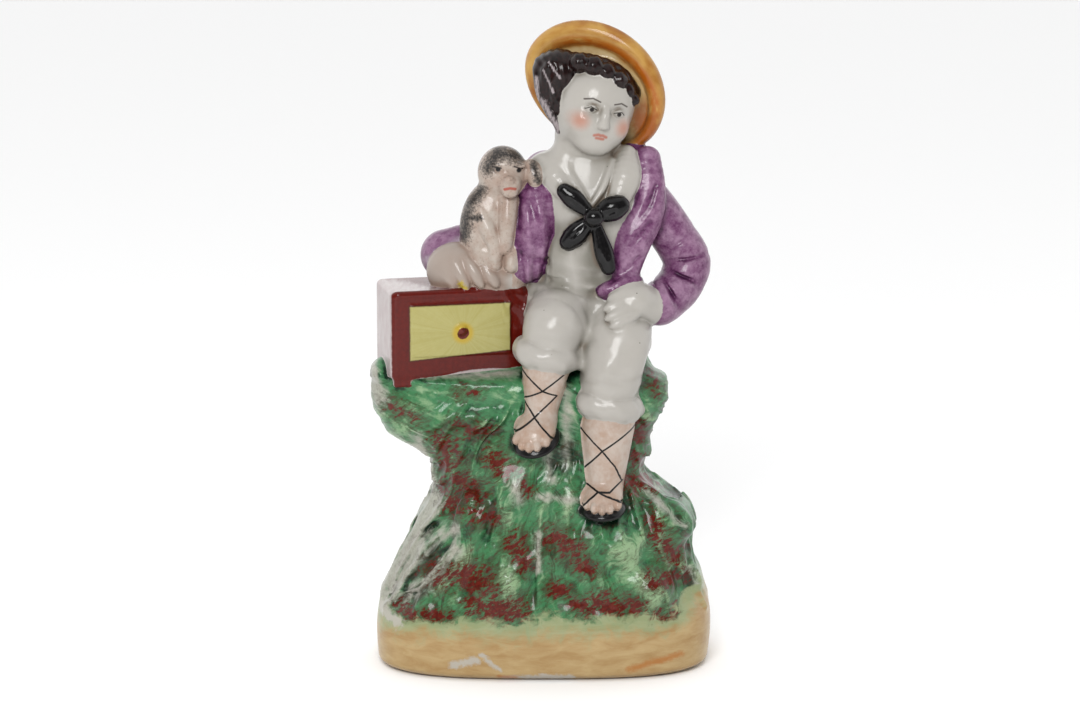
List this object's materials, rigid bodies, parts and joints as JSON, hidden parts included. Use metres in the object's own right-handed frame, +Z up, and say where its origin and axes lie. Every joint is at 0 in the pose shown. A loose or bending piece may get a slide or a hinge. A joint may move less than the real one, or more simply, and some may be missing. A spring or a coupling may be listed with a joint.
{
  "type": "pottery figure",
  "caption": "Glazed pottery figure of a seated boy in a wide hat with a monkey on a box beside him, on a rocky mound with an oval base; it stands by its own weight.",
  "frame": {"origin": "middle of the figure's plan, on the underside of its base", "axes": "+Z up through the hat; the front of the boy faces -Y; +X is the viewer's right"},
  "size_m": [0.1054, 0.0605, 0.1989],
  "materials": {
    "painted_earthenware": "clear gloss glaze over painted colours"
  },
  "bodies": {
    "root": {"boy_with_monkey_figure": "painted_earthenware"}
  },
  "joints": []
}
